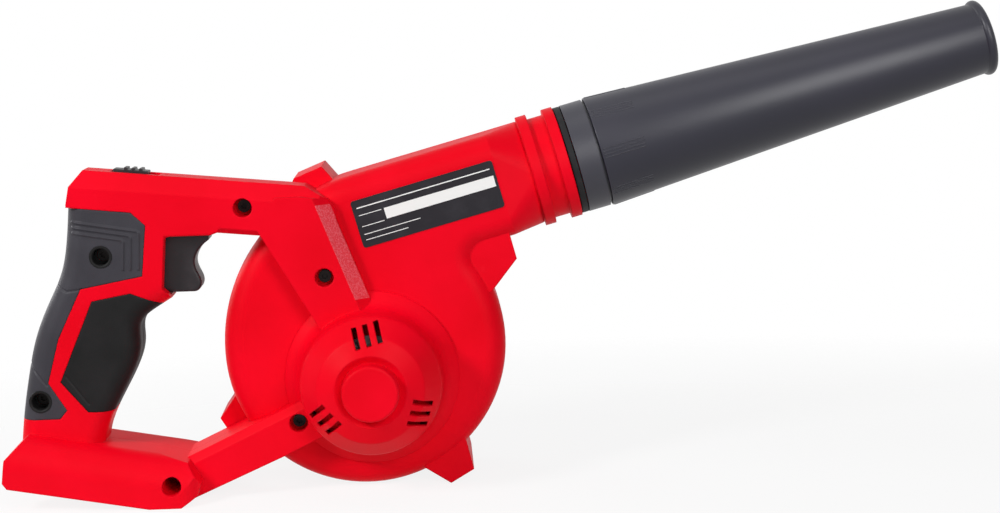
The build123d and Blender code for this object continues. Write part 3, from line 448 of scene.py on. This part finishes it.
# Baffles behind the two lower vent groups of the motor dome
def ventBaffles():
    baffle = {"middles": (212.0, 332.0), "half": 24.0, "steps": 12,         # degrees round the fan axis
              "section": [(20.8, 39.0), (26.4, 37.4), (33.4, 28.6), (34.2, 29.4), (27.2, 38.4), (21.2, 40.0)]}
    bm = bmesh.new()
    for middle in baffle["middles"]:
        rows = []
        for k in range(baffle["steps"] + 1):
            turn = math.radians(middle - baffle["half"] + 2 * baffle["half"] * k / baffle["steps"])
            row = [fromFan(r * math.cos(turn), -y, r * math.sin(turn)) for r, y in baffle["section"]]
            rows.append([bm.verts.new(place) for place in row])
        for here, after in zip(rows, rows[1:]):
            bridge(bm, here, after)
        bm.faces.new(rows[0])
        bm.faces.new(rows[-1])
    return fromBmesh(bm, "ventBaffles")


addPiece("ventBaffles", ventBaffles(), "housing", "red_plastic")


# Nozzle, with a bead at its mouth
nozzle = {"seat": 29.05, "seatEnd": 33.2, "start": 18.4, "end": 250.8, "base": 31.8, "tip": 20.4, "lip": 22.0,
          "bead": 2.8, "mouth": 18.0, "mouthStart": 236.8, "inner": 28.85, "beadSteps": 18, "segments": 160,
          "edge": 0.9, "ease": 0.25, "rearEdge": 0.8, "rearEase": 0.2}
nozzle["beadMiddle"] = nozzle["lip"] - nozzle["bead"]
nozzle["beadTurn"] = math.acos((nozzle["tip"] - nozzle["beadMiddle"]) / nozzle["bead"])
nozzle["beadStart"] = nozzle["end"] - nozzle["bead"] * (1 + math.sin(nozzle["beadTurn"]))
nozzle["taper"] = (nozzle["base"] - nozzle["tip"]) / (nozzle["beadStart"] - nozzle["start"])
tubeAxes = Matrix((Vector((0, 1, 0)), tubeUp, tubeDirection)).transposed()
tubeFrame = Matrix.Translation(tubeStart) @ tubeAxes.to_4x4()


def nozzleProfile(n):
    rear = [(n["base"] - n["rearEdge"], n["start"]), (n["base"] - n["rearEase"], n["start"] + n["ease"]),
            (n["base"], n["start"] + n["edge"])]
    bead = []
    for turn in np.linspace(-n["beadTurn"], math.pi / 2, n["beadSteps"]):
        along = n["end"] + n["bead"] * (math.sin(turn) - 1)
        bead.append((n["beadMiddle"] + n["bead"] * math.cos(turn), along))
    throat = [(n["mouth"] + n["edge"], n["end"]), (n["mouth"] + n["ease"], n["end"] - n["ease"]),
              (n["mouth"], n["end"] - n["edge"])]
    inside = [(n["mouth"], n["mouthStart"]), (n["inner"], n["seatEnd"]),
              (n["seat"], n["seatEnd"]), (n["seat"], n["start"])]
    return rear + bead + throat + inside


nozzleTurned = lathe(nozzleProfile(nozzle), nozzle["segments"])
addPiece("nozzleShell", fromBmesh(nozzleTurned, "nozzleShell", tubeFrame, angle=30), "nozzle_body",
         "dark_plastic", ["nozzle"])


def nozzleRibs():
    ribs = {"groups": 8, "inGroup": 4, "pitch": 1.75, "length": 24.0, "radius": 0.40, "start": 19.6,
            "first": -0.04, "sunk": 0.12, "sides": 8}
    g = Graph("ribs", ["groups", "inGroup", "pitch", "base", "taper", "length", "first", "start"])
    v = g.number
    index = g.make("GeometryNodeInputIndex", {}, {})
    group = (index / v["inGroup"]).floor()
    place = index % v["inGroup"] - (ribs["inGroup"] - 1) / 2
    angle = group * (2 * math.pi) / v["groups"] + v["first"] + place * v["pitch"] / v["base"]
    middle = v["start"] + v["length"] / 2
    radius = v["base"] - v["taper"] * (middle - nozzle["start"] * mm) - ribs["sunk"] * mm
    spot = g.joined(radius * angle.cosine(), radius * angle.sine(), middle)
    sizes = {"Vertices": ribs["sides"], "Radius": ribs["radius"] * mm, "Depth": v["length"]}
    bar = g.make("GeometryNodeMeshCylinder", {"fill_type": "TRIANGLE_FAN"}, sizes)
    placed = g.make("GeometryNodeSetPosition", {}, {"Geometry": g.points, "Position": spot})
    lean = g.joined(0.0, -1.0 * v["taper"], angle)
    bars = g.make("GeometryNodeInstanceOnPoints", {}, {"Points": placed, "Instance": bar, "Rotation": lean})
    numbers = {"groups": ribs["groups"], "inGroup": ribs["inGroup"], "pitch": ribs["pitch"] * mm,
               "base": nozzle["base"] * mm, "taper": nozzle["taper"], "length": ribs["length"] * mm,
               "first": ribs["first"], "start": ribs["start"] * mm}
    mesh = g.bake(bars, [(0, 0, 0)] * (ribs["groups"] * ribs["inGroup"]), numbers, "dark_plastic")
    mesh.transform(tubeFrame)
    return smoothMesh(mesh, angle=50)


addPiece("nozzleRibs", nozzleRibs(), "nozzle_body", "dark_plastic")
sealRing = softened("nozzle_seal", voxel=0.3, rounds=6)
addPiece("nozzleSealRing", sealRing, "seal_body", "seal_rubber", ["nozzle_seal"])
print("nozzle built")


# Screws, with a six-pointed recess
screwSizes = {"shell": {"headRadius": 3.5, "headHeight": 2.6, "shankRadius": 1.7},
              "grille": {"headRadius": 2.6, "headHeight": 1.4, "shankRadius": 1.2}}
screwSets = {"handleScrewSet": ("handle_screws", "shell", -1), "strutScrewSet": ("strut_screws", "shell", -1),
             "housingScrewSet": ("fan_housing_screws", "shell", 1), "grilleScrewSet": ("grille_screws", "grille", 1)}


def screwSet(name, node, size, facing):
    # sizes of the recess are shares of the head's radius or height
    recess = {"points": 6, "inner": 0.40, "outer": 0.58, "bed": 0.8, "bedDepth": 0.28, "bedMiddle": 0.16}
    count = {"rim": 32, "bed": 24, "shank": 16}
    turned = {"least": 0.0, "most": 1.05, "seed": 7}
    g = Graph(name, ["headRadius", "headHeight", "shankRadius", "shankLength", "facing"])
    v = g.number
    star = g.make("GeometryNodeCurveStar", {}, {"Points": recess["points"],
                                                "Inner Radius": v["headRadius"] * recess["inner"],
                                                "Outer Radius": v["headRadius"] * recess["outer"]})
    rim = g.make("GeometryNodeCurvePrimitiveCircle", {}, {"Resolution": count["rim"], "Radius": v["headRadius"]})
    outline = g.make("GeometryNodeJoinGeometry", {}, {0: [star, rim]})
    plate = g.make("GeometryNodeFillCurve", {}, {0: outline})
    raised = {"Mesh": plate, "Offset": (0.0, 0.0, 1.0), "Offset Scale": v["headHeight"], "Individual": False}
    head = g.make("GeometryNodeExtrudeMesh", {}, raised)
    under = g.make("GeometryNodeFlipFaces", {}, {0: plate})
    head = g.make("GeometryNodeJoinGeometry", {}, {0: [head, under]})
    head = g.make("GeometryNodeMergeByDistance", {}, {0: head, "Distance": weld})
    bed = g.make("GeometryNodeMeshCylinder", {}, {"Vertices": count["bed"], "Radius": v["headRadius"] * recess["bed"],
                                                  "Depth": v["headHeight"] * recess["bedDepth"]})
    lift = g.joined(0.0, 0.0, v["headHeight"] * recess["bedMiddle"])
    bed = g.make("GeometryNodeTransform", {}, {0: bed, "Translation": lift})
    sizes = {"Vertices": count["shank"], "Radius": v["shankRadius"], "Depth": v["shankLength"]}
    shank = g.make("GeometryNodeMeshCylinder", {}, sizes)
    drop = g.joined(0.0, 0.0, v["shankLength"] * -0.5)
    shank = g.make("GeometryNodeTransform", {}, {0: shank, "Translation": drop})
    screw = g.make("GeometryNodeJoinGeometry", {}, {0: [head, bed, shank]})
    spin = g.make("FunctionNodeRandomValue", {"data_type": "FLOAT"},
                  {2: turned["least"], 3: turned["most"], "Seed": turned["seed"]}, 1)
    stand = g.joined(v["facing"], 0.0, 0.0)
    heads = g.make("GeometryNodeInstanceOnPoints", {}, {"Points": g.points, "Instance": screw, "Rotation": stand})
    heads = g.make("GeometryNodeRotateInstances", {}, {"Instances": heads, "Rotation": g.joined(0.0, 0.0, spin)})
    headHeight = size["headHeight"] * mm
    seats = []
    for low, high in looseParts(node):
        seat = low.y + headHeight if facing < 0 else high.y - headHeight
        seats.append(((low.x + high.x) / 2, seat, (low.z + high.z) / 2))
        shankLength = high.y - low.y - headHeight
    numbers = {key: value * mm for key, value in size.items()}
    numbers.update({"shankLength": shankLength, "facing": -math.pi / 2 * facing})
    return smoothMesh(g.bake(heads, seats, numbers, "screw_steel"), angle=40)


for name, (node, size, facing) in screwSets.items():
    addPiece(name, screwSet(name, node, screwSizes[size], facing), "housing", "screw_steel", [node])
print("screws built")


# Soft pads, with raised ribs and creases on their outer faces
def segmentDistance(points, start, end):
    run = np.subtract(end, start)
    t = np.clip(((points - start) @ run) / (run @ run), 0, 1)
    return np.linalg.norm(points - (np.asarray(start) + t[:, None] * run), axis=1)


def raiseLines(mesh, lines):                             # lines of (points, half width, height)
    side = {"start": 0.1, "rise": 2}                     # how soon a line fades where the pad turns inwards
    count = len(mesh.vertices)
    places = np.empty(count * 3)
    facing = np.empty(count * 3)
    mesh.vertices.foreach_get("co", places)
    mesh.vertices.foreach_get("normal", facing)
    places, facing = places.reshape(-1, 3), facing.reshape(-1, 3)
    flat = (places[:, [0, 2]] - [fanAxis.x, fanAxis.z]) / mm
    outward = facing[:, 1] * np.sign(places[:, 1] - fanAxis.y)
    outer = np.clip((outward + side["start"]) * side["rise"], 0, 1)
    push = np.zeros(count)
    for points, halfWidth, height in lines:
        distance = np.min([segmentDistance(flat, a, b) for a, b in zip(points, points[1:])], axis=0)
        t = np.clip(1 - distance / halfWidth, 0, 1)
        push += height * t * t * (3 - 2 * t)
    places += facing * (push * outer * mm)[:, None]
    mesh.vertices.foreach_set("co", places.ravel())
    mesh.update()
    return mesh


def rearPadLines():
    rib = {"x": -160.5, "corners": (-124.7, -129.1, -133.2), "tops": (93.9, 90.9, 87.9), "slope": -0.165,
           "low": 67.0, "round": 1.2, "lean": 1.0, "halfWidth": 1.1, "height": 0.85}
    crease = {"halfWidth": 1.1, "height": -0.6, "lines": [[(-195, 19.5), (-189, 15.5), (-179.4, 3.6)],
                                                          [(-157.5, 56.5), (-165.5, 55.6), (-171.5, 58.5)]]}
    lines = []
    for corner, top in zip(rib["corners"], rib["tops"]):
        bend = top + rib["slope"] * (corner - rib["x"])
        points = [(rib["x"], top), (corner - rib["round"], bend), (corner, bend - rib["round"]),
                  (corner - rib["lean"], rib["low"])]
        lines.append((points, rib["halfWidth"], rib["height"]))
    return lines + [(points, crease["halfWidth"], crease["height"]) for points in crease["lines"]]


def frontPadLines():
    crease = {"halfWidth": 1.1, "height": -0.5, "line": [(-168.5, 8.5), (-157.0, -7.5)]}
    return [(crease["line"], crease["halfWidth"], crease["height"])]


for side in ("right", "left"):
    for end, lines, finish in (("rear", rearPadLines(), None), ("front", frontPadLines(), palmRubber)):
        source = "grip_%s_%s" % (end, side)
        pad = raiseLines(softened(source, voxel=0.4, rounds=6), lines)
        addPiece("softPad" + end.title() + side.title(), pad, "housing", "soft_grip", [source], finish)


# Rubber sleeves line the two screw wells in the right rear pad
def wellSleeves():
    sleeve = {"wells": ((-146, 74.3), (-183.4, -5.5)), "near": 3.0, "segments": 48,
              "section": [(4.55, 8.3), (3.65, 8.3), (3.65, 7.9), (5.12, 7.9), (5.12, 17.05), (5.8, 17.65),
                          (6.3, 18.0), (6.2, 18.3), (5.8, 18.35), (5.12, 18.25), (4.7, 17.85), (4.55, 17.35)]}
    whole = bmesh.new()
    for low, high in looseParts("handle_screws"):
        spot = Vector(((low.x + high.x) / 2, fanAxis.y, (low.z + high.z) / 2))
        if min((spot - fromFan(x, 0, z)).length for x, z in sleeve["wells"]) > sleeve["near"] * mm:
            continue
        ring = lathe(sleeve["section"], sleeve["segments"])
        turned = Matrix.Translation(spot) @ Matrix.Rotation(math.pi / 2, 4, "X")
        bmesh.ops.transform(ring, matrix=turned, verts=ring.verts)
        part = bpy.data.meshes.new("part")
        ring.to_mesh(part)
        ring.free()
        whole.from_mesh(part)
        bpy.data.meshes.remove(part)
    return fromBmesh(whole, "wellSleeves", angle=50)


addPiece("wellSleeves", wellSleeves(), "housing", "soft_grip", (), palmRubber)
print("pads built")

triggerGrip = softened("trigger", voxel=0.4, rounds=14)
addPiece("triggerGrip", triggerGrip, "trigger_body", "black_plastic", ["trigger"])
speedThumb = softened("speed_slider", voxel=0.25, rounds=6)
addPiece("speedThumb", speedThumb, "slider_body", "black_plastic", ["speed_slider"])


# Coil spring behind the trigger (the trigger presses it short), built here at one length
def triggerCoil():
    spring = {"turns": 5.5, "wire": 0.45, "stepsInTurn": 32, "wireSides": 10}
    low, high = looseParts("trigger_spring")[0]
    wire = spring["wire"] * mm
    g = Graph("coil", ["radius", "length", "wire"])
    v = g.number
    middle = v["radius"] - v["wire"]
    path = {"Resolution": spring["stepsInTurn"], "Rotations": spring["turns"], "Start Radius": middle,
            "End Radius": middle, "Height": v["length"] - v["wire"] * 2}
    helix = g.make("GeometryNodeCurveSpiral", {}, path)
    section = g.make("GeometryNodeCurvePrimitiveCircle", {}, {"Resolution": spring["wireSides"], "Radius": v["wire"]})
    tube = g.make("GeometryNodeCurveToMesh", {}, {"Curve": helix, "Profile Curve": section, "Fill Caps": True})
    numbers = {"radius": (high.z - low.z) / 2, "length": high.x - low.x, "wire": wire}
    mesh = g.bake(tube, [(0, 0, 0)], numbers, "spring_steel")
    start = Vector((low.x + wire, (low.y + high.y) / 2, (low.z + high.z) / 2))
    mesh.transform(Matrix.Translation(start) @ Matrix.Rotation(math.pi / 2, 4, "Y"))
    coil = addPiece("triggerCoil", smoothMesh(mesh, angle=50), "housing", "spring_steel", ["trigger_spring"])
    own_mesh(coil)


triggerCoil()


# Label with round corners
def labelPlate():
    label = {"length": 82.0, "height": 27.0, "corner": 1.6, "thick": 0.4, "cornerSteps": 4}
    centre = labelCentre()
    outline = []
    for i, j, first in ((1, 1, 0), (-1, 1, 90), (-1, -1, 180), (1, -1, 270)):
        for k in range(label["cornerSteps"] + 1):
            turn = math.radians(first + 90 * k / label["cornerSteps"])
            u = i * (label["length"] / 2 - label["corner"]) + label["corner"] * math.cos(turn)
            v = j * (label["height"] / 2 - label["corner"]) + label["corner"] * math.sin(turn)
            outline.append(centre + (tubeDirection * u + tubeUp * v) * mm)
    bm = bmesh.new()
    half = Vector((0, label["thick"] / 2 * mm, 0))
    back = [bm.verts.new(place + half) for place in outline]
    front = [bm.verts.new(place - half) for place in outline]
    bm.faces.new(back)
    bm.faces.new(front)
    bridge(bm, back, front)
    return fromBmesh(bm, "labelPlate")


addPiece("labelPlate", labelPlate(), "housing", "label_film", ["rating_label"])
print("trigger, slider and label built")


# Camera
shot = {"fromFan": (35.10, -1030.45, 209.22), "right": (0.998804, -0.041192, -0.026329),
        "down": (-0.031757, -0.137218, -0.990032), "forward": (0.037169, 0.989684, -0.138362),
        "lens": 66.6, "sensor": 36, "farthest": 20}
camera = addObject("camera", bpy.data.cameras.new("camera"))
camera.data.lens = shot["lens"]
camera.data.sensor_width = shot["sensor"]
camera.data.clip_end = shot["farthest"]
axes = Matrix((shot["right"], [-v for v in shot["down"]], [-v for v in shot["forward"]])).transposed()
camera.matrix_world = Matrix.Translation(fromFan(*shot["fromFan"])) @ axes.to_4x4()
bpy.context.scene.camera = camera
print("camera placed")


# Floor, world and lamps
studio = {"floor": (0.8, 0.8, 0.8), "floorRoughness": 0.9, "floorHalf": 2, "glow": 0.86, "world": 0.11,
          "fadeReach": 0.55, "fadeAcross": 0.5, "fadeDeep": 1.6, "fadeStart": 0.12, "white": (1, 1, 1, 1)}
lamps = {
    "keyLamp": {"place": (0.30, -0.88, 0.54), "aim": (0.08, 0, 0.16), "size": (0.42, 0.50), "power": 5.6},
    "sideLamp": {"place": (-0.86, -0.62, 0.72), "aim": (-0.1, 0, 0.14), "size": (0.26, 0.26), "power": 9.0},
    "topLamp": {"place": (-0.1, -0.15, 1.2), "aim": (0, 0, 0.1), "size": (1.0, 0.4), "power": 1.5},
    "backLamp": {"place": (-0.95, 0.62, 0.42), "aim": (0, 0, 0.12), "size": (0.5, 0.4), "power": 4.0},
}


def looking(tree):                                       # 1 where the camera, a mirror or glass looks
    kinds = ("Is Camera Ray", "Is Glossy Ray", "Is Transmission Ray")
    direct, mirrored, through = [tree.make("ShaderNodeLightPath", {}, {}, kind) for kind in kinds]
    return direct.larger(mirrored).larger(through)


def floorPaper():
    f = Finish("floorPaper", studio["floor"], studio["floorRoughness"])
    x, y, _ = f.split(f.place)
    fade = (x * x * studio["fadeAcross"] + y * y * studio["fadeDeep"]) / studio["fadeReach"] ** 2
    glow = f.make("ShaderNodeEmission", {}, {"Color": studio["white"], "Strength": 1.0})
    paper = Link(f, f.shader.outputs[0])
    surface = f.make("ShaderNodeMixShader", {}, {0: looking(f) * studio["glow"], 1: paper, 2: glow})
    clear = f.make("ShaderNodeBsdfTransparent", {}, {})
    gone = f.ramp(fade, low=studio["fadeStart"], high=1.0)
    surface = f.make("ShaderNodeMixShader", {}, {0: gone, 1: surface, 2: clear})
    f.nodeTree.links.new(surface.socket, f.nodeTree.nodes["Material Output"].inputs[0])
    return f.material


def studioWorld():
    world = bpy.data.worlds.new("studio")
    world.use_nodes = True
    sky = Tree(world.node_tree)
    lit, white = [sky.make("ShaderNodeBackground", {}, {"Color": studio["white"], "Strength": strength})
                  for strength in (studio["world"], 1.0)]
    shown = sky.make("ShaderNodeMixShader", {}, {0: looking(sky), 1: lit, 2: white})
    world.node_tree.links.new(shown.socket, world.node_tree.nodes["World Output"].inputs[0])
    return world


def softbox(name, place, aim, size, power):
    lamp = bpy.data.lights.new(name, "AREA")
    lamp.shape = "RECTANGLE"
    lamp.size, lamp.size_y = size
    lamp.energy = power
    turned = (Vector(aim) - Vector(place)).to_track_quat("-Z", "Y").to_matrix().to_4x4()
    addObject(name, lamp).matrix_world = Matrix.Translation(place) @ turned


half = studio["floorHalf"]
floorMesh = bpy.data.meshes.new("floor")
floorMesh.from_pydata([(-half, -half, 0), (half, -half, 0), (half, half, 0), (-half, half, 0)], [], [(0, 1, 2, 3)])
floorMesh.materials.append(floorPaper())
floor = addObject("floor", floorMesh)
bpy.context.scene.world = studioWorld()
for name, lamp in lamps.items():
    softbox(name, **lamp)
bpy.context.scene.view_settings.view_transform = "Standard"
print("studio lit")
